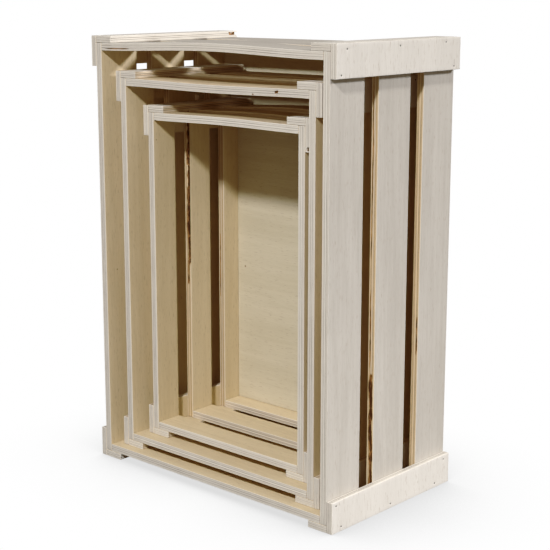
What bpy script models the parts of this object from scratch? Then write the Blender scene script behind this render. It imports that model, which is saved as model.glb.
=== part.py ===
"""Three slatted plywood crates, nested in each other and standing on one short end.

X runs across the crates, Y from their open side to their back panel, and Z up, along their length.
The origin is at the middle of the set's footprint, on the surface that it stands on.

A crate has four walls of three slats, and a back panel let in between them. The long side walls
cap the short end walls. Outside, every corner has two battens along Y: an end batten on the end
slats, and a side batten on the side slats, which caps the end batten.
"""

from collections import namedtuple

import bmesh
import bpy
from mathutils import Vector

# Boards, in metres
SLAT_THICKNESS = 0.008
PANEL_THICKNESS = 0.008
BATTEN_THICKNESS = 0.007
SIDE_BATTEN_HEIGHT = 0.032
END_BATTEN_WIDTH = 0.023
SPACE_BETWEEN_SLATS = 0.0215
SLAT_PLACES = ("front", "centre", "back")
ARRIS = 0.0004  # flat planed along every edge

# Touching boards keep this much apart, and so do a crate's feet and the floor that they stand on.
FIT_GAP = 0.0003

# How far the battens stand out from the slats, and how far a crate's floor is above its feet.
BATTEN_STANDOUT = FIT_GAP + BATTEN_THICKNESS
FLOOR_HEIGHT = BATTEN_STANDOUT + SLAT_THICKNESS + FIT_GAP

# length, width and depth are over the slats, and recess is how far a crate's rim sits behind the
# rim of the crate that holds it. Battens that are joined make one L at each corner.
Crate = namedtuple("Crate", "name length width depth recess joined_battens")
CRATES = (
    Crate("outer", 0.450, 0.319, 0.193, 0.0, False),
    Crate("middle", 0.398, 0.268, 0.165, 0.0104, False),
    Crate("inner", 0.347, 0.217, 0.136, 0.0149, True),
)

SIDES = {"left": -1, "right": 1}

SLAT_COLOUR = (0.62, 0.54, 0.43)
BATTEN_COLOUR = (0.72, 0.66, 0.57)
PANEL_COLOUR = (0.60, 0.52, 0.40)
WOOD_ROUGHNESS = 0.65


def clear_scene():
    for obj in list(bpy.data.objects):
        bpy.data.objects.remove(obj)


def make_plywood(name, colour):
    material = bpy.data.materials.new(name)
    material.use_nodes = True
    shader = material.node_tree.nodes["Principled BSDF"]
    shader.inputs["Base Color"].default_value = (*colour, 1.0)
    shader.inputs["Roughness"].default_value = WOOD_ROUGHNESS
    shader.inputs["Metallic"].default_value = 0.0
    return material


def rectangle(x_from, x_to, z_from, z_to):
    return [(x_from, z_from), (x_to, z_from), (x_to, z_to), (x_from, z_to)]


def add_board(name, outline, near, far, material, parent):
    """Adds the board that an outline in X and Z makes, swept along Y from near to far."""
    across = [x for x, z in outline]
    up = [z for x, z in outline]
    centre = Vector((min(across) + max(across), near + far, min(up) + max(up))) / 2
    shape = bmesh.new()
    corners = [shape.verts.new(Vector((x, near, z)) - centre) for x, z in outline]
    swept = bmesh.ops.extrude_face_region(shape, geom=[shape.faces.new(corners)])
    far_corners = [part for part in swept["geom"] if isinstance(part, bmesh.types.BMVert)]
    bmesh.ops.translate(shape, verts=far_corners, vec=(0, far - near, 0))
    bmesh.ops.recalc_face_normals(shape, faces=shape.faces)
    mesh = bpy.data.meshes.new(name)
    shape.to_mesh(mesh)
    shape.free()
    mesh.materials.append(material)

    board = bpy.data.objects.new(name, mesh)
    board.location = centre
    board.parent = parent
    bpy.context.collection.objects.link(board)
    planed = board.modifiers.new("arris", "BEVEL")
    planed.width = ARRIS
    planed.segments = 1
    planed.limit_method = "ANGLE"


def add_walls(crate, material, parent):
    """The slats: upright on the two long sides, and lying across the bottom and top ends."""
    slat_width = (crate.depth - (len(SLAT_PLACES) - 1) * SPACE_BETWEEN_SLATS) / len(SLAT_PLACES)
    outside = crate.width / 2
    inside = outside - SLAT_THICKNESS
    bottom = BATTEN_STANDOUT
    top = bottom + crate.length
    end_reach = inside - FIT_GAP
    ends = {"bottom": (bottom, bottom + SLAT_THICKNESS), "top": (top - SLAT_THICKNESS, top)}
    for row, place in enumerate(SLAT_PLACES):
        near = row * (slat_width + SPACE_BETWEEN_SLATS)
        far = near + slat_width
        for side, sign in SIDES.items():
            outline = rectangle(sign * inside, sign * outside, bottom, top)
            add_board(f"{crate.name}_{side}_slat_{place}", outline, near, far, material, parent)
        for end, (under, over) in ends.items():
            outline = rectangle(-end_reach, end_reach, under, over)
            add_board(f"{crate.name}_{end}_slat_{place}", outline, near, far, material, parent)


def add_back_panel(crate, material, parent):
    """The panel fills the back of the crate between its walls, flush with the slats' back edges."""
    reach = crate.width / 2 - SLAT_THICKNESS - FIT_GAP
    top = BATTEN_STANDOUT + crate.length - SLAT_THICKNESS - FIT_GAP
    outline = rectangle(-reach, reach, FLOOR_HEIGHT, top)
    near = crate.depth - PANEL_THICKNESS
    add_board(f"{crate.name}_back_panel", outline, near, crate.depth, material, parent)


def add_corner_battens(crate, material, parent):
    """The two battens of each corner, as two boards or joined into one L."""
    slat_face = crate.width / 2
    side_face = slat_face + FIT_GAP
    edge = side_face + BATTEN_THICKNESS
    end_reach = slat_face - END_BATTEN_WIDTH
    height = crate.length + 2 * BATTEN_STANDOUT
    # At each end, the crate's outermost level and the direction from it into the crate
    for end, level, inward in (("bottom", 0.0, 1), ("top", height, -1)):
        batten_level = level + inward * BATTEN_THICKNESS
        side_level = level + inward * SIDE_BATTEN_HEIGHT
        for side, sign in SIDES.items():
            corner = f"{end}_{side}"
            if crate.joined_battens:
                outline = [
                    (sign * end_reach, level),
                    (sign * edge, level),
                    (sign * edge, side_level),
                    (sign * side_face, side_level),
                    (sign * side_face, batten_level),
                    (sign * end_reach, batten_level),
                ]
                name = f"{crate.name}_corner_batten_{corner}"
                add_board(name, outline, 0, crate.depth, material, parent)
                continue
            outline = rectangle(sign * side_face, sign * edge, level, side_level)
            name = f"{crate.name}_side_batten_{corner}"
            add_board(name, outline, 0, crate.depth, material, parent)
            outline = rectangle(sign * end_reach, sign * slat_face, level, batten_level)
            name = f"{crate.name}_end_batten_{corner}"
            add_board(name, outline, 0, crate.depth, material, parent)


def main():
    clear_scene()
    slat_wood = make_plywood("slat_plywood", SLAT_COLOUR)
    batten_wood = make_plywood("batten_plywood", BATTEN_COLOUR)
    panel_wood = make_plywood("panel_plywood", PANEL_COLOUR)

    # Each crate hangs on an empty at the middle of its rim, level with its feet. It slides out along
    # Y, and takes the crates inside it along.
    holder = None
    for crate in CRATES:
        rim = bpy.data.objects.new(f"{crate.name}_crate", None)
        bpy.context.collection.objects.link(rim)
        rim.parent = holder
        if holder is None:
            rim.location = (0.0, -crate.depth / 2, 0.0)
        else:
            rim.location = (0.0, crate.recess, FLOOR_HEIGHT)
        add_walls(crate, slat_wood, rim)
        add_back_panel(crate, panel_wood, rim)
        add_corner_battens(crate, batten_wood, rim)
        holder = rim


main()
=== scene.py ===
"""Looks of the nested slatted crates: plywood boards with open ply edges, brads, floor, light and camera.

Every board is built in its own frame: X along its face grain, Y across the grain and Z through the
thickness, with the crate's outside at +Z. It is then turned and moved into its CAD node's box.
Lengths are in metres.
"""

import math
import random
from collections import namedtuple

import bpy
import numpy as np
from mathutils import Matrix, Vector


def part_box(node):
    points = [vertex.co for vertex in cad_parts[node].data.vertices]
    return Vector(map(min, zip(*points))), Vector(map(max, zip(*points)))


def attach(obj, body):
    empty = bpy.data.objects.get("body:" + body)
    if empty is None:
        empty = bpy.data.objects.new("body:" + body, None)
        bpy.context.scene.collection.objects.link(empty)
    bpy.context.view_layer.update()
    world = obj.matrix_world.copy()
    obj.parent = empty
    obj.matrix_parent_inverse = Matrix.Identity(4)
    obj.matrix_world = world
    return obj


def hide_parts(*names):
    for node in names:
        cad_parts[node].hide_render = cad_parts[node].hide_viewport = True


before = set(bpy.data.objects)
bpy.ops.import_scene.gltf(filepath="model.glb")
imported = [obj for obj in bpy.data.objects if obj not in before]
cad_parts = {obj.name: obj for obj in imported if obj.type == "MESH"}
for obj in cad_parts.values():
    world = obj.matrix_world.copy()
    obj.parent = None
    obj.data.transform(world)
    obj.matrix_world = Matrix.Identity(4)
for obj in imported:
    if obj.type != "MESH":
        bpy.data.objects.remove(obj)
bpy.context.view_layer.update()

CRATES = ("outer", "middle", "inner")
ENDS = {"bottom": -1, "top": 1}
SIDES = {"left": -1, "right": 1}
PLACES = ("front", "centre", "back")
X_AXIS, Y_AXIS, Z_AXIS = Vector((1, 0, 0)), Vector((0, 1, 0)), Vector((0, 0, 1))

# Plywood: the plies' shares of the thickness, and the relief of a cut edge, which is hollow at its
# glue lines and end grain, rippled by the saw and rounded along its arris
PLIES = (0.16, 0.21, 0.26, 0.21, 0.16)
GLUE_LINE = 0.00022
GLUE_HOLLOW = 0.00008
GLUE_WANDER = 0.0001
END_GRAIN_HOLLOW = 0.00005
SAW_RIPPLE = 0.00006
ARRIS = 0.0005
ARRIS_LINES = (0.0, ARRIS * 0.6, ARRIS)

# Mesh lines: how far apart they run, and where they run round a pit, round a brad and along a
# streak, and how close together in a torn end
MESH_STEP = 0.006
PIT_LINES = (-1.5, -1.0, -0.5, 0.0, 0.5, 1.0, 1.5)
BRAD_LINES = (-1.0, -0.55, 0.0, 0.55, 1.0)
STREAK_STEP = 0.0022
TEAR_STEP = 0.0009
TEAR_LINES = (0.2, 0.4, 0.6, 0.8, 1.0)

# The inner crate's CAD nodes join each corner's two battens, which are two boards in truth
BATTEN_THICKNESS = 0.007
JOINT_GAP = 0.0003

# Wire brads, each driven a little below the face and a little off its place
BRAD_HEAD = 0.0008
BRAD_SHANK = 0.0006
BRAD_LENGTH = 0.012
BRAD_PIT = 0.0012
BRAD_SINK = 0.0002
BRAD_WANDER = 0.0008
BRAD_SHARE_WANDER = 0.01

# How far a slat bows out from the crate in its middle
BOWS = {
    "outer_top_slat_front": 0.0035,
    "outer_top_slat_centre": 0.0015,
    "middle_top_slat_front": -0.0012,
    "inner_top_slat_front": 0.0012,
    "inner_top_slat_centre": 0.0020,
    "inner_top_slat_back": 0.0035,
}

# An open seam or a streak of bark along the edge of a slat, from start to end as shares of the
# length. The shares run up the left walls, down the right ones, and from left to right on top.
# edge is -1 on the rim's side and 1 on the back's. Ply 0 is the inside one. A streak shows bark's
# own dark, and the deeper it is, the more painted shade blackens its hollow, up to STREAK_SHADE_DEPTH.
# Its ends fade out over STREAK_FADE.
Streak = namedtuple("Streak", "edge start end ply width depth sway")
STREAK_SHADE_DEPTH = 0.008
STREAK_FADE = 0.014
STREAKS = {
    "outer_top_slat_front": [
        Streak(-1, 0.0, 0.16, 1, 0.0006, 0.0006, 0.0),
        Streak(-1, 0.0, 0.05, 3, 0.0006, 0.0005, 0.0),
    ],
    "inner_left_slat_centre": [
        Streak(-1, 0.50, 1.00, 0, 0.0050, 0.0045, 0.0002),
        Streak(-1, 0.43, 0.76, 2, 0.0014, 0.0018, 0.0008),
    ],
    "inner_left_slat_back": [Streak(-1, 0.36, 0.60, 3, 0.0008, 0.0012, 0.0002)],
    "outer_right_slat_centre": [
        Streak(-1, 0.69, 1.00, 2, 0.0026, 0.0020, 0.0010),
        Streak(-1, 0.50, 0.70, 1, 0.0008, 0.0006, 0.0003),
        Streak(-1, 0.06, 0.46, 1, 0.0006, 0.0005, 0.0003),
    ],
    "outer_right_slat_back": [Streak(-1, 0.59, 0.70, 3, 0.0009, 0.0008, 0.0002)],
}

# A hole in the rim's side of a board, at shares of its length and of its thickness. Its hollow is
# painted dark, as painted shade.
Pit = namedtuple("Pit", "along through radius depth")
PITS = {
    "middle_top_slat_front": [
        Pit(0.835, 0.50, 0.0014, 0.0025),
        Pit(0.844, 0.58, 0.0014, 0.0025),
        Pit(0.72, 0.12, 0.0009, 0.0006),
    ],
    "inner_side_batten_top_right": [Pit(0.93, 0.60, 0.0027, 0.0035)],
}

# The far end of this batten is torn: each ply breaks off at its own ragged line. Where more than
# about TEAR_SHADE_DEPTH is gone, painted shade darkens what is left.
TORN_BATTEN = "outer_end_batten_top_left"
TEAR_DEPTHS = (0.0015, 0.0040, 0.0100, 0.0130, 0.0010)
TEAR_REACH = 0.017
TEAR_SHADE_DEPTH = 0.004

# Where the brads go: shares of a batten's length, and how far the two rows are from its edges
SIDE_BRADS_OUTER = (0.075, 0.48, 0.87)
SIDE_BRADS_INNER = (0.03, 0.955)
SIDE_BRAD_INSETS = (0.0048, 0.004)
END_BRADS = (0.12, 0.50, 0.88)

# How pale the edges of the slats behind the rim are, and the long edges of the battens, from 0 for
# a freshly sawn edge to 1 for a weathered rim
SLAT_EDGE_PALENESS = {"bottom": 0.6, "top": 0.0, "left": 0.0, "right": 0.0}
BATTEN_EDGE_PALENESS = {"outer": 1.0, "middle": 0.4, "inner": 0.4}

# Colours, as linear reflectances
INSIDE_PALE, INSIDE_DARK = (0.71, 0.60, 0.42), (0.63, 0.52, 0.35)
OUTSIDE_PALE, OUTSIDE_DARK = (0.54, 0.51, 0.47), (0.46, 0.43, 0.39)
SHELTERED_PALE, SHELTERED_DARK = (0.66, 0.56, 0.42), (0.58, 0.48, 0.34)
PANEL_PALE, PANEL_DARK = (0.62, 0.57, 0.45), (0.55, 0.50, 0.38)
BATTEN_PALE, BATTEN_DARK = (0.71, 0.68, 0.64), (0.65, 0.62, 0.58)
RIM_EDGE, SAWN_EDGE = (0.80, 0.77, 0.71), (0.72, 0.58, 0.38)
EDGE_STREAK = (0.52, 0.47, 0.42)
RIM_END_GRAIN, SAWN_END_GRAIN = (0.58, 0.53, 0.47), (0.50, 0.36, 0.21)
GLUE, PORE = (0.17, 0.135, 0.11), (0.30, 0.22, 0.15)
# WEAR_AND_HIGHLIGHT lightens the rounded arrises: partly wear, partly a painted highlight along them.
STAIN, WEAR_AND_HIGHLIGHT = (0.50, 0.40, 0.26), (0.90, 0.87, 0.81)
# BARK_AND_PAINTED_SHADE is bark's own near-black, and also the painted shade in pits, torn ends and deep
# streaks.
KNOT, BARK_AND_PAINTED_SHADE, INNER_BARK = (0.16, 0.08, 0.035), (0.05, 0.025, 0.012), (0.35, 0.18, 0.08)
STEEL, RUST = (0.012, 0.011, 0.010), (0.02, 0.011, 0.006)

# Lights: a lamp close by on the right, a distant light from behind on the right, and two weak ones
# for what the wood and the floor throw back. Spreads are in degrees.
KEY_PLACE = Vector((0.55, -1.15, 1.20))
KEY_AIM = Vector((0.0, 0.0, 0.23))
KEY_SIZE = 0.13
KEY_POWER = 8.3
KEY_COLOUR = (1.0, 0.985, 0.96)
BACK_TRAVEL = Vector((-1.33, -1.0, -0.80))
BACK_STRENGTH = 2.6
BACK_SPREAD = 9.0
BACK_COLOUR = (1.0, 0.985, 0.97)
BOUNCE_TRAVEL = Vector((-0.5, 1.0, 0.1))
BOUNCE_STRENGTH = 0.20
BOUNCE_SPREAD = 60.0
BOUNCE_COLOUR = (1.0, 0.60, 0.20)
GLOW_PLACE = Vector((0.37, 0.0, 0.055))
GLOW_TRAVEL = Vector((-1.0, 0.0, 0.0))
GLOW_LENGTH, GLOW_HEIGHT = 0.30, 0.08
GLOW_POWER = 0.085

# Surroundings and floor
FILL_COLOUR = (1.0, 0.90, 0.76)
FILL_LIGHT = 0.19
FLOOR_SIZE = 14.0
FLOOR_BOUNCE = 0.24
# The floor's painted shade round the crates: how dark it gets, and how far it reaches.
FLOOR_SHADE = 0.72
FLOOR_SHADE_REACH = 0.16

# A photograph's tones, as points on the curves of Blender's view settings: its contrast darkens
# the shadows, and they keep more of their red than of their blue.
RED_CURVE, BLUE_CURVE, CONTRAST_CURVE = 0, 2, 3
TONE_CURVES = {
    CONTRAST_CURVE: ((0.05, 0.034), (0.10, 0.080), (0.20, 0.188), (0.40, 0.40)),
    RED_CURVE: ((0.045, 0.064), (0.10, 0.112), (0.20, 0.20), (0.50, 0.50)),
    BLUE_CURVE: ((0.012, 0.008), (0.035, 0.025), (0.10, 0.088), (0.20, 0.20), (0.50, 0.50)),
}

# Camera: its angles are azimuth from the front towards the right, elevation and roll, in degrees
CAMERA_PLACE = Vector((0.9185, -1.0165, 0.5147))
CAMERA_ANGLES = (43.562, 11.785, -0.302)
CAMERA_LENS = 86.59
CAMERA_SHIFT = (0.0691, -0.0236)


# ---------------------------------------------------------------- board meshes


def ease(value):
    """0 below 0, 1 above 1, and a smooth step between."""
    value = np.clip(value, 0.0, 1.0)
    return value * value * (3 - 2 * value)


def sway(places, wavelength, seed):
    """A smooth irregular line through the places, from about -1 to 1."""
    phases = np.random.default_rng(seed).uniform(0, 2 * math.pi, 4)
    total = 0.0
    for phase, shorter in zip(phases, (1.0, 0.63, 0.41, 0.27)):
        total = total + np.sin(2 * math.pi * places / (wavelength * shorter) + phase)
    return total / 2.6


def even_places(length, step):
    """Places about a step apart between 0 and the length, without its ends."""
    count = max(2, round(length / step))
    return [length * i / count for i in range(1, count)]


def mesh_lines(length, step, needed=()):
    """Where the mesh lines across a side run: round its two edges, at the needed places, and between."""
    fine = ARRIS * 0.12
    lines = list(ARRIS_LINES)
    for place in sorted(needed):
        if lines[-1] + fine < place < length - ARRIS - fine:
            lines.append(place)
    lines += [length - place for place in reversed(ARRIS_LINES)]
    for place in even_places(length, step):
        if min(abs(place - line) for line in lines) > step * 0.35:
            lines.append(place)
    return sorted(lines)


def glue_heights(thickness):
    """How high above the inside face the glue lines lie."""
    heights = [0.0]
    for share in PLIES:
        heights.append(heights[-1] + share * thickness)
    return heights[1:-1]


def through_lines(thickness):
    """Mesh lines through the thickness: three for each glue line, and one in the middle of each ply."""
    glue = glue_heights(thickness)
    places = []
    for height in glue:
        places += [height - GLUE_LINE, height, height + GLUE_LINE]
    for low, high in zip([0.0] + glue, glue + [thickness]):
        places.append((low + high) / 2)
    return mesh_lines(thickness, thickness, places)


def box_surface(lines):
    """Points and outward quads of a box with mesh lines at the given places, and each quad's face."""
    index = {}
    points = []
    quads = []
    faces = []

    def point(key):
        if key not in index:
            index[key] = len(points)
            points.append([lines[axis][key[axis]] for axis in range(3)])
        return index[key]

    for axis in range(3):
        first, second = (axis + 1) % 3, (axis + 2) % 3
        for end in (0, len(lines[axis]) - 1):
            for i in range(len(lines[first]) - 1):
                for j in range(len(lines[second]) - 1):
                    corners = []
                    for step_i, step_j in ((0, 0), (1, 0), (1, 1), (0, 1)):
                        key = [end, end, end]
                        key[first] = i + step_i
                        key[second] = j + step_j
                        corners.append(point(tuple(key)))
                    quads.append(corners if end else corners[::-1])
                    faces.append((axis, end > 0))
    return np.array(points), quads, faces


class Board:
    """A weathered plywood board in its own frame, from 0 to its size along each axis."""

    def __init__(self, size, seed):
        self.size = size
        self.seed = seed
        self.bow = 0.0
        self.streaks = ()
        self.pits = ()
        self.brads = ()
        self.torn = False

    def lines(self):
        """Mesh lines along the three axes, closer together where the board has more detail."""
        along = []
        across = []
        for pit in self.pits:
            middle = pit.along * self.size.x
            along += [middle + pit.radius * share for share in PIT_LINES]
        for streak in self.streaks:
            shares = np.arange(streak.start, streak.end, STREAK_STEP / self.size.x)
            along += list(shares * self.size.x)
        for x, y in self.brads:
            along += [x + BRAD_PIT * share for share in BRAD_LINES]
            across += [y + BRAD_PIT * share for share in BRAD_LINES]
        if self.torn:
            along += even_places(self.size.x, TEAR_STEP)
            across += [self.size.y - TEAR_REACH * share for share in TEAR_LINES]
        return (
            mesh_lines(self.size.x, MESH_STEP, along),
            mesh_lines(self.size.y, MESH_STEP, across),
            through_lines(self.size.z),
        )

    def build(self):
        """Shapes the points, and keeps what the materials read: through, bark, worn and on_rim."""
        places, self.quads, self.faces = box_surface(self.lines())
        size = np.array(self.size)
        core = np.clip(places, ARRIS, size - ARRIS)
        out = places - core
        out /= np.linalg.norm(out, axis=1)[:, None]
        points = core + out * ARRIS
        self.through = places[:, 2] / size[2]
        # The rounded arris, which the materials lighten with wear and a painted highlight.
        self.arris_wear_and_highlight = (np.abs(out).max(1) < 0.999).astype(float)
        # Bark, and painted shade in hollows: pits, torn plies and the deepest streaks.
        self.bark_and_painted_shade = np.zeros(len(places))

        flat = np.linalg.norm(out[:, :2], axis=1)
        edge = flat > 0.5
        sideways = out[:, :2] / np.maximum(flat, 1e-9)[:, None]
        depth, lift = self.edge_relief(places, sideways)
        depth = np.maximum(depth, 0.0)
        points[:, :2] -= sideways * (depth * edge)[:, None]
        points[:, 2] += lift * edge
        self.bark_and_painted_shade *= edge
        points[:, 2] -= self.brad_pits(places) * (out[:, 2] > 0.5)
        if self.torn:
            gone = self.tear(places)
            points[:, 1] -= gone
            # Painted shade: where a ply has broken far back, what is left is painted dark.
            self.bark_and_painted_shade = np.maximum(self.bark_and_painted_shade, ease(gone / TEAR_SHADE_DEPTH - 0.7))

        self.on_rim = (edge & (sideways[:, 1] < -0.5)).astype(float)
        longest = 0 if size[0] >= size[1] else 1
        points[:, 2] += self.bow * np.sin(math.pi * places[:, longest] / size[longest]) ** 2
        self.points = points
        return self

    def face_materials(self):
        """Each face's material: 0 inside, 1 outside, 2 an edge along the grain, 3 an end."""
        numbers = {2: (0, 1), 1: (2, 2), 0: (3, 3)}
        return [numbers[axis][high_end] for axis, high_end in self.faces]

    def edge_relief(self, places, sideways):
        """How far points of an edge lie in, and how far they are shifted through the thickness."""
        cut_along = np.abs(sideways[:, 1]) >= np.abs(sideways[:, 0])
        line = np.where(cut_along, places[:, 0], places[:, 1])
        seed = self.seed
        depth = SAW_RIPPLE * (1 + sway(line, 0.011, seed))
        lift = np.zeros(len(places))
        height = places[:, 2]
        glue = glue_heights(self.size.z)
        for number, (low, high) in enumerate(zip([0.0] + glue, glue + [self.size.z])):
            inside = (height > low + GLUE_LINE / 2) & (height < high - GLUE_LINE / 2)
            end_grain = cut_along == (number % 2 == 1)
            depth += END_GRAIN_HOLLOW * (inside & end_grain) * (1 + sway(line, 0.005, seed + number))
        for number, level in enumerate(glue):
            here = np.abs(height - level) < GLUE_LINE * 1.1
            middle = np.abs(height - level) < GLUE_LINE * 0.4
            depth += GLUE_HOLLOW * middle * (1 + 0.5 * sway(line, 0.02, seed + 11 * number))
            lift += GLUE_WANDER * here * sway(line, 0.04, seed + 5 * number)
        for streak in self.streaks:
            side = cut_along & (streak.edge * sideways[:, 1] > 0)
            deep, shift, dark = self.streak_relief(streak, places)
            depth += deep * side
            lift += shift * side
            # A streak's bark, with painted shade in its hollow that grows with its depth.
            self.bark_and_painted_shade = np.maximum(self.bark_and_painted_shade, dark * side)
        for pit in self.pits:
            side = cut_along & (sideways[:, 1] < 0)
            away = np.hypot(places[:, 0] - pit.along * self.size.x, height - pit.through * self.size.z)
            hole = ease(1.8 * (1.1 - away / pit.radius)) * side
            depth += pit.depth * hole
            # Painted shade: the pit's hollow is painted dark.
            self.bark_and_painted_shade = np.maximum(self.bark_and_painted_shade, hole)
        return depth, lift

    def streak_relief(self, streak, places):
        """A hollow that follows one ply, wanders a little and fades at both ends."""
        along, height = places[:, 0], places[:, 2]
        here = ease((along - streak.start * self.size.x) / STREAK_FADE + 0.01)
        if streak.end < 1:
            here = here * ease((streak.end * self.size.x - along) / STREAK_FADE)
        if streak.start > 0:
            here = here * (along > streak.start * self.size.x)
        plies = [0.0] + glue_heights(self.size.z) + [self.size.z]
        middle = (plies[streak.ply] + plies[streak.ply + 1]) / 2
        ragged = 1 + 0.30 * sway(along, 0.055, self.seed + 21) + 0.12 * sway(along, 0.017, self.seed + 22)
        off = np.abs(height - middle) / (streak.width / 2 * np.maximum(0.35, ragged))
        inside = ease(1.9 - off)
        depth = streak.depth * here * inside * (0.85 + 0.2 * sway(along, 0.04, self.seed + 2))
        inner = ease(4 * height / self.size.z) * ease(4 - 4 * height / self.size.z)
        shift = streak.sway * here * sway(along, 0.16, self.seed + 9) * inner
        # The last value is how dark the streak is painted: its bark, and painted shade growing with its
        # depth.
        return np.maximum(depth, 0), shift, here * inside * (1 + streak.depth / STREAK_SHADE_DEPTH)

    def tear(self, places):
        """How far each ply of the far end has broken away, most of all at the batten's inner edge."""
        ply = np.searchsorted(glue_heights(self.size.z), places[:, 2])
        inward = ease(places[:, 0] / self.size.x * 1.4)
        broken = np.zeros(len(places))
        for number, depth in enumerate(TEAR_DEPTHS):
            line = 0.75 + 0.35 * sway(places[:, 0], 0.008, self.seed + 31 * number)
            broken += depth * line * (ply == number)
        reach = np.clip(1 - (self.size.y - places[:, 1]) / TEAR_REACH, 0, 1)
        return broken * inward * reach

    def brad_pits(self, places):
        """How deep the outside face is pushed in round the heads of the brads."""
        depth = np.zeros(len(places))
        for x, y in self.brads:
            away = np.hypot(places[:, 0] - x, places[:, 1] - y)
            depth = np.maximum(depth, BRAD_SINK * 2 * ease(2.5 * (1.02 - away / BRAD_PIT)))
        return depth


# ---------------------------------------------------------------- boards in their places


def slab(box, out, thickness, skip=0.0):
    """The part of a box that starts skip behind its face towards out, and is that thick."""
    low, high = box[0].copy(), box[1].copy()
    axis = max(range(3), key=lambda number: abs(out[number]))
    if out[axis] > 0:
        high[axis] -= skip
        low[axis] = high[axis] - thickness
    else:
        low[axis] += skip
        high[axis] = low[axis] + thickness
    return low, high


class Builder:
    """Makes the pieces, each with its own seed, and gathers the brads of each crate."""

    def __init__(self, woods):
        self.woods = woods
        self.count = 0
        self.brads = {crate: [] for crate in CRATES}

    def board(self, name, box, out, wood, crate, grain=None, brads=None, paleness=1.0):
        """One board in its box, with its outside face towards out. Returns its piece.

        paleness is that of its rim's side, from 0 for a freshly sawn edge to 1 for a weathered rim.
        """
        grain = grain or Y_AXIS.cross(out)
        turn = Matrix((grain, out.cross(grain), out)).transposed()
        low, high = box
        size = Vector([abs(part) for part in turn.transposed() @ (high - low)])
        self.count += 1
        board = Board(size, 17 * self.count)
        board.bow = BOWS.get(name, 0.0)
        board.streaks = STREAKS.get(name, ())
        board.pits = PITS.get(name, ())
        board.torn = name == TORN_BATTEN
        board.brads = brads(size, turn) if brads else ()
        board.build()

        mesh = bpy.data.meshes.new(name)
        points = board.points - np.array(size) / 2
        mesh.from_pydata(points.tolist(), [], board.quads)
        self.add_values(mesh, board, wood, crate, paleness)
        for material in self.woods[crate][wood]:
            mesh.materials.append(material)
        mesh.polygons.foreach_set("material_index", board.face_materials())
        mesh.shade_smooth()
        mesh.set_sharp_from_angle(angle=math.radians(32))

        piece = bpy.data.objects.new(f"{name}_board", mesh)
        bpy.context.scene.collection.objects.link(piece)
        piece.matrix_world = Matrix.Translation((low + high) / 2) @ turn.to_4x4()
        for x, y in board.brads:
            head = Vector((x - size.x / 2, y - size.y / 2, size.z / 2 - BRAD_SINK))
            self.brads[crate].append((piece.matrix_world @ head, out))
        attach(piece, f"{crate}_crate")
        return piece

    def add_values(self, mesh, board, wood, crate, paleness):
        """Stores what the materials read at each point."""
        count = len(board.points)
        rim = board.on_rim * paleness
        if wood == "batten":
            rim = np.maximum(rim, BATTEN_EDGE_PALENESS[crate])
        values = {
            "through": board.through,
            "bark_and_painted_shade": board.bark_and_painted_shade,
            "arris_wear_and_highlight": board.arris_wear_and_highlight,
            "rim": rim,
            "board": np.full(count, float(self.count)),
        }
        for key, numbers in values.items():
            attribute = mesh.attributes.new(key, "FLOAT", "POINT")
            attribute.data.foreach_set("value", numbers.astype(np.float32))

    def walls(self, crate):
        """The slats of the two ends and the two long sides, from the rim to the back."""
        for place in PLACES:
            for end, sign in ENDS.items():
                self.wall_slat(crate, end, place, Z_AXIS * sign)
            for side, sign in SIDES.items():
                self.wall_slat(crate, side, place, X_AXIS * sign)

    def wall_slat(self, crate, wall, place, out):
        """One slat, with a pale edge on the rim and a sawn one behind it."""
        node = f"{crate}_{wall}_slat_{place}"
        paleness = 1.0 if place == "front" else SLAT_EDGE_PALENESS[wall]
        piece = self.board(node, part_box(node), out, "slat", crate, paleness=paleness)
        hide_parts(node)

    def panel(self, crate):
        """The back panel, with its grain across the crate."""
        node = f"{crate}_back_panel"
        piece = self.board(node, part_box(node), Y_AXIS, "panel", crate, grain=X_AXIS)
        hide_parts(node)

    def battens(self, crate):
        """The two battens at each corner. Their boxes are parts of one node if the CAD joins them."""
        for end, end_sign in ENDS.items():
            for side, side_sign in SIDES.items():
                end_out, side_out = Z_AXIS * end_sign, X_AXIS * side_sign
                side_name = f"{crate}_side_batten_{end}_{side}"
                end_name = f"{crate}_end_batten_{end}_{side}"
                joined = f"{crate}_corner_batten_{end}_{side}"
                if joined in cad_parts:
                    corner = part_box(joined)
                    width = corner[1].x - corner[0].x - BATTEN_THICKNESS - JOINT_GAP
                    inner = slab(corner, side_out, width, BATTEN_THICKNESS + JOINT_GAP)
                    side_box = slab(corner, side_out, BATTEN_THICKNESS)
                    end_box = slab(inner, end_out, BATTEN_THICKNESS)
                    side_node = end_node = joined
                else:
                    side_box, end_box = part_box(side_name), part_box(end_name)
                    side_node, end_node = side_name, end_name
                places = self.side_brads(end_out)
                piece = self.board(side_name, side_box, side_out, "batten", crate, brads=places)
                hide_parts(side_node)
                piece = self.board(end_name, end_box, end_out, "batten", crate, brads=self.end_brads)
                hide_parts(end_node)

    def side_brads(self, end_out):
        """Three brads into the end batten's edge, and two into the slats nearer the crate's middle."""

        def places(size, turn):
            from_end = [(SIDE_BRAD_INSETS[0], share) for share in SIDE_BRADS_OUTER]
            from_end += [(size.x - SIDE_BRAD_INSETS[1], share) for share in SIDE_BRADS_INNER]
            grain_to_end = turn.col[0].dot(end_out) > 0
            return [
                (size.x - x if grain_to_end else x, size.y * share)
                for x, share in self.jitter(from_end)
            ]

        return places

    def end_brads(self, size, turn):
        """One brad into each of the end slats."""
        middles = [(size.x / 2, share) for share in END_BRADS]
        return [(x, size.y * share) for x, share in self.jitter(middles)]

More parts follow.
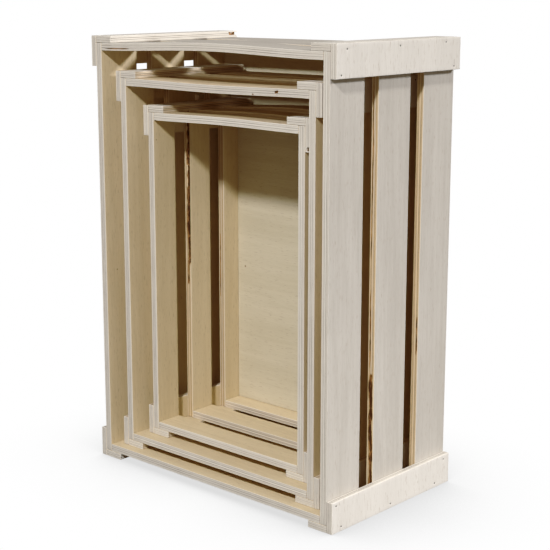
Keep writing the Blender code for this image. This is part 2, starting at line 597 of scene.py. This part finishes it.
    def jitter(self, places):
        """The same places, each a little off, as a hand-held nailer leaves them."""
        chance = random.Random(self.count)
        moved = []
        for x, share in places:
            x += chance.uniform(-BRAD_WANDER, BRAD_WANDER)
            share += chance.uniform(-BRAD_SHARE_WANDER, BRAD_SHARE_WANDER)
            moved.append((x, share))
        return moved

    def brad_heads(self, crate, material):
        """All brads of a crate, turned from one profile that runs from the head down to the point."""
        profile, faces = turned(
            (
                (0.0, 0.0),
                (BRAD_HEAD * 0.6, -0.00002),
                (BRAD_HEAD, -0.00012),
                (BRAD_HEAD, -0.0004),
                (BRAD_SHANK, -0.0007),
                (BRAD_SHANK, 0.0012 - BRAD_LENGTH),
                (0.0, -BRAD_LENGTH),
            ),
            sides=14,
        )
        points, quads = [], []
        for place, out in self.brads[crate]:
            turn = out.to_track_quat("Z", "Y").to_matrix()
            first = len(points)
            points += [place + turn @ point for point in profile]
            quads += [[first + corner for corner in face] for face in faces]
        name = f"{crate}_brads"
        mesh = bpy.data.meshes.new(name)
        mesh.from_pydata(points, [], quads)
        mesh.materials.append(material)
        mesh.shade_smooth()
        mesh.set_sharp_from_angle(angle=math.radians(40))
        piece = bpy.data.objects.new(name, mesh)
        bpy.context.scene.collection.objects.link(piece)
        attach(piece, f"{crate}_crate")


def turned(profile, sides):
    """Points and faces of a profile of (radius, height) turned round Z. Its two ends are on the axis."""
    points = [Vector((0, 0, profile[0][1]))]
    for radius, height in profile[1:-1]:
        for step in range(sides):
            angle = 2 * math.pi * step / sides
            points.append(Vector((radius * math.cos(angle), radius * math.sin(angle), height)))
    points.append(Vector((0, 0, profile[-1][1])))
    last = len(points) - 1
    rings = len(profile) - 2
    faces = []
    for step in range(sides):
        after = (step + 1) % sides
        faces.append([0, 1 + step, 1 + after])
        for ring in range(rings - 1):
            upper, lower = 1 + ring * sides, 1 + (ring + 1) * sides
            faces.append([upper + step, lower + step, lower + after, upper + after])
        lowest = 1 + (rings - 1) * sides
        faces.append([last, lowest + after, lowest + step])
    return points, faces


# ---------------------------------------------------------------- materials


class Shading:
    """A material's node tree, with short calls for what wood needs."""

    def __init__(self, name):
        self.material = bpy.data.materials.new(name)
        self.material.use_nodes = True
        self.tree = self.material.node_tree
        self.shader = self.tree.nodes["Principled BSDF"]

    def add(self, kind, inputs, output=0, **settings):
        """Adds a node and returns one of its outputs. inputs maps sockets to values or outputs."""
        node = self.tree.nodes.new(kind)
        for key, value in settings.items():
            setattr(node, key, value)
        for socket, value in inputs.items():
            if isinstance(value, bpy.types.NodeSocket):
                self.tree.links.new(value, node.inputs[socket])
            else:
                node.inputs[socket].default_value = value
        return node.outputs[output]

    def value(self, key):
        """A value that is stored in the mesh."""
        return self.add("ShaderNodeAttribute", {}, "Fac", attribute_name=key)

    def math(self, operation, first, second=0.0):
        """The result of a sum or a comparison of two values."""
        return self.add("ShaderNodeMath", {0: first, 1: second}, operation=operation)

    def step(self, value, low, high, to_low=0.0, to_high=1.0):
        """The value, taken smoothly from the range low to high into the range to_low to to_high."""
        inputs = {"Value": value, "From Min": low, "From Max": high, "To Min": to_low, "To Max": to_high}
        return self.add("ShaderNodeMapRange", inputs, interpolation_type="SMOOTHSTEP")

    def mix(self, share, first, second):
        """A colour between two others."""
        colours = [c if isinstance(c, bpy.types.NodeSocket) else (*c, 1.0) for c in (first, second)]
        inputs = {0: share, 6: colours[0], 7: colours[1]}
        return self.add("ShaderNodeMix", inputs, 2, data_type="RGBA")

    def chance(self, number):
        """A random value from 0 to 1 for each board."""
        inputs = {"W": self.math("ADD", self.math("MULTIPLY", self.value("board"), 1.37), number)}
        return self.add("ShaderNodeTexWhiteNoise", inputs, "Value", noise_dimensions="1D")

    def place(self):
        """The place on the board, moved so that no two boards show the same pattern."""
        here = self.add("ShaderNodeTexCoord", {}, "Object")
        away = {0: (2.3, 3.1, 1.7), "Scale": self.value("board")}
        moved = self.add("ShaderNodeVectorMath", away, operation="SCALE")
        return self.add("ShaderNodeVectorMath", {0: here, 1: moved}, operation="ADD")

    def noise(self, place, along, across, detail=2.0, rough=0.5, axis=0):
        """Noise with that many features in a metre along the axis and across it."""
        scale = [across] * 3
        scale[axis] = along
        vector = self.add("ShaderNodeVectorMath", {0: place, 1: scale}, operation="MULTIPLY")
        inputs = {"Vector": vector, "Scale": 1.0, "Detail": detail, "Roughness": rough}
        return self.add("ShaderNodeTexNoise", inputs, "Fac")

    def bend(self, place, along, amount, axis=0):
        """The place with its grain led round in long soft waves."""
        wave = self.noise(place, along, along * 3, 1.0, axis=axis)
        push = [amount] * 3
        push[axis] = 0.0
        off = self.math("SUBTRACT", wave, 0.5)
        moved = self.add("ShaderNodeVectorMath", {0: push, "Scale": off}, operation="SCALE")
        return self.add("ShaderNodeVectorMath", {0: place, 1: moved}, operation="ADD")

    def finish(self, colour, rough, height, depth):
        """Connects the colour, roughness and relief to the shader."""
        normal = self.add("ShaderNodeBump", {"Strength": 0.6, "Distance": depth, "Height": height})
        self.tree.links.new(colour, self.shader.inputs["Base Color"])
        self.tree.links.new(rough, self.shader.inputs["Roughness"])
        self.tree.links.new(normal, self.shader.inputs["Normal"])
        self.shader.inputs["Specular IOR Level"].default_value = 0.3
        return self.material


def veneer(name, pale, dark):
    """The face of a board: figure and fibres drawn out along the grain, pores, specks and stains."""
    wood = Shading(name)
    place = wood.place()
    bent = wood.bend(place, 2.5, 0.030)
    figure = wood.noise(bent, 2.0, 38, 3, 0.55)
    streaks = wood.noise(bent, 9, 230, 3, 0.6)
    fibres = wood.noise(place, 50, 1500, 2, 0.6)
    clouds = wood.noise(place, 11, 16, 2, 0.5)
    pores = wood.noise(place, 130, 1300, 1, 0.5)

    shade = wood.math("MULTIPLY", wood.math("SUBTRACT", figure, 0.5), 1.5)
    for layer, amount in ((streaks, 1.0), (fibres, 0.9), (clouds, 0.7), (wood.chance(3), 0.30)):
        offset = wood.math("MULTIPLY", wood.math("SUBTRACT", layer, 0.5), amount)
        shade = wood.math("ADD", shade, offset)
    colour = wood.mix(wood.step(shade, -0.5, 0.5), pale, dark)

    pore = wood.step(pores, 0.62, 0.76, 0.0, 0.42)
    colour = wood.mix(pore, colour, PORE)
    stain = wood.step(wood.noise(place, 14, 22, 3, 0.55), 0.68, 0.80, 0.0, 0.35)
    colour = wood.mix(stain, colour, STAIN)
    colour = wood.mix(knots(wood, place), colour, KNOT)
    # Lighter along the rounded arris: wear, and a painted highlight.
    colour = wood.mix(wood.math("MULTIPLY", wood.value("arris_wear_and_highlight"), 0.35), colour, WEAR_AND_HIGHLIGHT)

    rough = wood.step(wood.math("ADD", fibres, streaks), 0.7, 1.3, 0.56, 0.74)
    relief = wood.math("ADD", wood.math("MULTIPLY", fibres, 0.7), streaks)
    relief = wood.math("SUBTRACT", relief, wood.math("MULTIPLY", pore, 2.0))
    return wood.finish(colour, rough, relief, 0.00012)


def knots(wood, place):
    """How much of a pin knot shows: dark in the middle, with a soft rim, and few on each board."""
    inputs = {"Vector": place, "Scale": 17.0, "Randomness": 1.0}
    away = wood.add("ShaderNodeTexVoronoi", inputs, "Distance")
    pick = wood.add("ShaderNodeTexVoronoi", inputs, "Color")
    red = wood.add("ShaderNodeSeparateColor", {0: pick}, "Red")
    chosen = wood.math("GREATER_THAN", red, 0.90)
    spot = wood.step(away, 0.014, 0.030, 0.75, 0.0)
    return wood.math("MULTIPLY", spot, chosen)


def ply_edge(name, pale, sawn, end_grain_is_odd, glue_shares, glue_reach):
    """A cut edge: plies of long grain and of end grain by turns, broken glue lines, seams and bark,
    with painted shade darkening pits, torn ends and the deepest streaks.

    glue_shares is how much of the glue's colour shows at least and at most, and glue_reach is how
    far from a glue line that fades out, as a share of the thickness. The outermost lines are faint.
    """
    wood = Shading(name)
    place = wood.place()
    through = wood.value("through")
    axis = 0 if end_grain_is_odd else 1
    levels = [sum(PLIES[: number + 1]) for number in range(len(PLIES) - 1)]

    ply = None
    gap = None
    for level in levels:
        above = wood.math("GREATER_THAN", through, level)
        ply = wood.math("ADD", ply, above) if ply else above
        away = wood.math("ABSOLUTE", wood.math("SUBTRACT", through, level))
        if level in (levels[0], levels[-1]):
            away = wood.math("ADD", away, glue_reach * 0.45)
        gap = wood.math("MINIMUM", gap, away) if gap else away
    odd = wood.math("MODULO", ply, 2.0)
    end_grain = odd if end_grain_is_odd else wood.math("SUBTRACT", 1.0, odd)

    cut = wood.noise(place, 260, 1500, 2, 0.6, axis)
    streaks = wood.noise(place, 5, 1900, 2, 0.55, axis)
    bands = wood.noise(place, 55, 8, 2, 0.6, axis)
    pores = wood.noise(place, 900, 1500, 2, 0.6, axis)
    tone = wood.add(
        "ShaderNodeTexWhiteNoise",
        {"W": wood.math("ADD", wood.math("MULTIPLY", wood.value("board"), 7.3), ply)},
        "Value",
        noise_dimensions="1D",
    )

    rim = wood.value("rim")
    base = wood.mix(rim, sawn, pale)
    shade = wood.math("MULTIPLY", wood.math("SUBTRACT", streaks, 0.5), 0.8)
    for layer, amount in ((cut, 0.25), (bands, 0.45), (tone, 1.0)):
        offset = wood.math("MULTIPLY", wood.math("SUBTRACT", layer, 0.5), amount)
        shade = wood.math("ADD", shade, offset)
    colour = wood.mix(wood.step(shade, -0.8, 0.8, 0.0, 0.50), base, EDGE_STREAK)
    dull = wood.mix(rim, SAWN_END_GRAIN, wood.mix(0.5, base, RIM_END_GRAIN))
    open_pores = wood.math("MULTIPLY", wood.step(pores, 0.48, 0.70), wood.step(rim, 0.0, 1.0, 0.75, 0.3))
    dull = wood.mix(open_pores, dull, PORE)
    colour = wood.mix(wood.math("MULTIPLY", end_grain, wood.step(rim, 0.0, 1.0, 0.8, 0.55)), colour, dull)

    broken = wood.step(wood.noise(place, 14, 5, 3, 0.6, axis), 0.36, 0.62, *glue_shares)
    line = wood.math("MULTIPLY", wood.step(gap, glue_reach * 0.25, glue_reach, 1.0, 0.0), broken)
    colour = wood.mix(line, colour, GLUE)
    dash = wood.step(wood.noise(place, 70, 900, 1, 0.5, axis), 0.76, 0.82, 0.0, 0.45)
    colour = wood.mix(wood.math("MULTIPLY", dash, end_grain), colour, GLUE)

    flecks = wood.noise(place, 80, 700, 3, 0.65, axis)
    # Bark and painted shade: bark's own dark and brown flecks along streaks, and near-black painted shade
    # in pits, torn ends and the deepest streaks.
    bark_and_painted_shade = wood.value("bark_and_painted_shade")
    # Painted shade of the deepest streaks, which turns their flecks near-black.
    deep_streak_shade = wood.math("MAXIMUM", wood.math("SUBTRACT", bark_and_painted_shade, 1.0), 0.0)
    speckle = wood.math("SUBTRACT", flecks, wood.math("MULTIPLY", deep_streak_shade, 0.4))
    patch = wood.mix(wood.step(speckle, 0.42, 0.60), BARK_AND_PAINTED_SHADE, INNER_BARK)
    patch = wood.mix(wood.step(speckle, 0.64, 0.72, 0.0, 0.6), patch, sawn)
    share = wood.step(wood.math("ADD", bark_and_painted_shade, wood.math("MULTIPLY", flecks, 0.5)), 0.45, 0.75)
    colour = wood.mix(share, colour, patch)

    # A painted highlight along the arris, over its wear.
    colour = wood.mix(wood.math("MULTIPLY", wood.value("arris_wear_and_highlight"), 0.5), colour, WEAR_AND_HIGHLIGHT)

    rough = wood.step(cut, 0.3, 0.7, 0.62, 0.82)
    relief = wood.math("ADD", wood.math("MULTIPLY", cut, 0.25), streaks)
    relief = wood.math("ADD", relief, wood.math("MULTIPLY", flecks, wood.math("MULTIPLY", bark_and_painted_shade, 3.0)))
    relief = wood.math("SUBTRACT", relief, wood.math("MULTIPLY", dash, 1.5))
    return wood.finish(colour, rough, relief, 0.00004)


def steel(name):
    """Black annealed wire, dull and spotted with rust."""
    wire = Shading(name)
    place = wire.add("ShaderNodeTexCoord", {}, "Object")
    spots = wire.noise(place, 2600, 2600, 3, 0.6)
    colour = wire.mix(wire.step(spots, 0.50, 0.68), STEEL, RUST)
    rough = wire.step(spots, 0.35, 0.65, 0.50, 0.75)
    wire.shader.inputs["Metallic"].default_value = 0.2
    return wire.finish(colour, rough, spots, 0.00003)


def make_woods():
    """The materials of a board's inside, its outside, the edges along the grain and the ends."""
    rim_edge = ply_edge("ply_edge_along_grain", RIM_EDGE, SAWN_EDGE, True, (0.30, 0.66), 0.062)
    rim_end = ply_edge("ply_edge_across_grain", RIM_EDGE, SAWN_EDGE, False, (0.55, 0.95), 0.085)
    batten = veneer("batten_veneer", BATTEN_PALE, BATTEN_DARK)
    inside = veneer("inside_veneer", INSIDE_PALE, INSIDE_DARK)
    outside = veneer("weathered_veneer", OUTSIDE_PALE, OUTSIDE_DARK)
    sheltered = veneer("sheltered_veneer", SHELTERED_PALE, SHELTERED_DARK)
    panel = veneer("panel_veneer", PANEL_PALE, PANEL_DARK)
    woods = {}
    for crate in CRATES:
        outer_face = outside if crate == "outer" else sheltered
        woods[crate] = {
            "slat": (inside, outer_face, rim_edge, rim_end),
            "panel": (panel, outer_face, rim_edge, rim_end),
            "batten": (inside, batten, rim_edge, rim_end),
        }
    return woods


# ---------------------------------------------------------------- floor, light and camera


def add_floor():
    """A white floor. The camera sees it glow evenly white, with painted shade close round the crates."""
    half = FLOOR_SIZE / 2
    mesh = bpy.data.meshes.new("floor")
    corners = [(-half, -half, 0), (half, -half, 0), (half, half, 0), (-half, half, 0)]
    mesh.from_pydata(corners, [], [(0, 1, 2, 3)])
    floor = bpy.data.objects.new("floor", mesh)
    bpy.context.scene.collection.objects.link(floor)

    look = Shading("white_floor")
    distance = {"Distance": FLOOR_SHADE_REACH}
    # Painted shade: the floor's glow is darkened where the AO node finds the crates close by.
    open_sky = look.add("ShaderNodeAmbientOcclusion", distance, "AO", samples=8)
    shade = look.step(open_sky, 0.35, 1.0, FLOOR_SHADE, 1.0)
    seen = look.add("ShaderNodeEmission", {"Color": (1, 1, 1, 1), "Strength": shade})
    lit = look.add("ShaderNodeBsdfDiffuse", {"Color": (FLOOR_BOUNCE,) * 3 + (1,)})
    camera_ray = look.add("ShaderNodeLightPath", {}, "Is Camera Ray")
    both = look.add("ShaderNodeMixShader", {0: camera_ray, 1: lit, 2: seen})
    look.tree.links.new(both, look.tree.nodes["Material Output"].inputs["Surface"])
    look.tree.nodes.remove(look.shader)
    mesh.materials.append(look.material)


def add_surroundings():
    """A white backdrop all round, which lights the crates only dimly."""
    world = bpy.data.worlds.new("studio")
    world.use_nodes = True
    tree = world.node_tree
    seen = tree.nodes["Background"]
    seen.inputs["Color"].default_value = (1, 1, 1, 1)
    lit = tree.nodes.new("ShaderNodeBackground")
    lit.inputs["Color"].default_value = (*FILL_COLOUR, 1)
    lit.inputs["Strength"].default_value = FILL_LIGHT
    ray = tree.nodes.new("ShaderNodeLightPath")
    mix = tree.nodes.new("ShaderNodeMixShader")
    tree.links.new(ray.outputs["Is Camera Ray"], mix.inputs[0])
    tree.links.new(lit.outputs[0], mix.inputs[1])
    tree.links.new(seen.outputs[0], mix.inputs[2])
    tree.links.new(mix.outputs[0], tree.nodes["World Output"].inputs["Surface"])
    bpy.context.scene.world = world


def add_light(name, kind, travel, strength, colour):
    """A light whose rays go towards travel. Returns its object."""
    data = bpy.data.lights.new(name, kind)
    data.energy = strength
    data.color = colour
    light = bpy.data.objects.new(name, data)
    light.rotation_euler = travel.to_track_quat("-Z", "Y").to_euler()
    bpy.context.scene.collection.objects.link(light)
    return light


def add_key_light():
    """A lamp close by, as strong on the crates' feet as on their tops."""
    lamp = add_light("key_light", "AREA", KEY_AIM - KEY_PLACE, KEY_POWER, KEY_COLOUR)
    lamp.data.shape = "DISK"
    lamp.data.size = KEY_SIZE
    lamp.data.use_nodes = True
    tree = lamp.data.node_tree
    falloff = tree.nodes.new("ShaderNodeLightFalloff")
    falloff.inputs["Strength"].default_value = 1.0
    tree.links.new(falloff.outputs["Constant"], tree.nodes["Emission"].inputs["Strength"])
    lamp.location = KEY_PLACE
    lamp.visible_camera = False


def add_distant_lights():
    """The light from behind, and a dim warm one for what the boards throw back at each other."""
    behind = add_light("back_light", "SUN", BACK_TRAVEL, BACK_STRENGTH, BACK_COLOUR)
    behind.data.angle = math.radians(BACK_SPREAD)
    bounce = add_light("warm_bounce", "SUN", BOUNCE_TRAVEL, BOUNCE_STRENGTH, BOUNCE_COLOUR)
    bounce.data.angle = math.radians(BOUNCE_SPREAD)


def add_floor_glow():
    """A weak light for what the bright floor throws up at the crates' right side."""
    glow = add_light("floor_glow", "AREA", GLOW_TRAVEL, GLOW_POWER, KEY_COLOUR)
    glow.data.shape = "RECTANGLE"
    glow.data.size = GLOW_LENGTH
    glow.data.size_y = GLOW_HEIGHT
    glow.location = GLOW_PLACE
    glow.visible_camera = False


def add_camera():
    """The camera, from its place, its azimuth from the front, its elevation and its roll."""
    azimuth, elevation, roll = (math.radians(angle) for angle in CAMERA_ANGLES)
    back = Vector(
        (
            math.sin(azimuth) * math.cos(elevation),
            -math.cos(azimuth) * math.cos(elevation),
            math.sin(elevation),
        )
    )
    right = Z_AXIS.cross(back).normalized()
    up = back.cross(right)
    turned_right = right * math.cos(roll) + up * math.sin(roll)
    turned_up = up * math.cos(roll) - right * math.sin(roll)
    data = bpy.data.cameras.new("camera")
    data.sensor_width = 36.0
    data.lens = CAMERA_LENS
    data.shift_x, data.shift_y = CAMERA_SHIFT
    camera = bpy.data.objects.new("camera", data)
    turn = Matrix((turned_right, turned_up, back)).transposed()
    camera.matrix_world = Matrix.Translation(CAMERA_PLACE) @ turn.to_4x4()
    bpy.context.scene.collection.objects.link(camera)
    bpy.context.scene.camera = camera


def set_tones():
    """Gives the picture a photograph's contrast. Black and white stay where they are."""
    view = bpy.context.scene.view_settings
    view.view_transform = "Standard"
    view.use_curve_mapping = True
    for number, places in TONE_CURVES.items():
        for place in places:
            view.curve_mapping.curves[number].points.new(*place)
    view.curve_mapping.update()


def main():
    set_tones()
    builder = Builder(make_woods())
    wire = steel("brad_steel")
    for crate in CRATES:
        builder.walls(crate)
        builder.panel(crate)
        builder.battens(crate)
        builder.brad_heads(crate, wire)
    add_floor()
    add_surroundings()
    add_key_light()
    add_distant_lights()
    add_floor_glow()
    add_camera()


main()
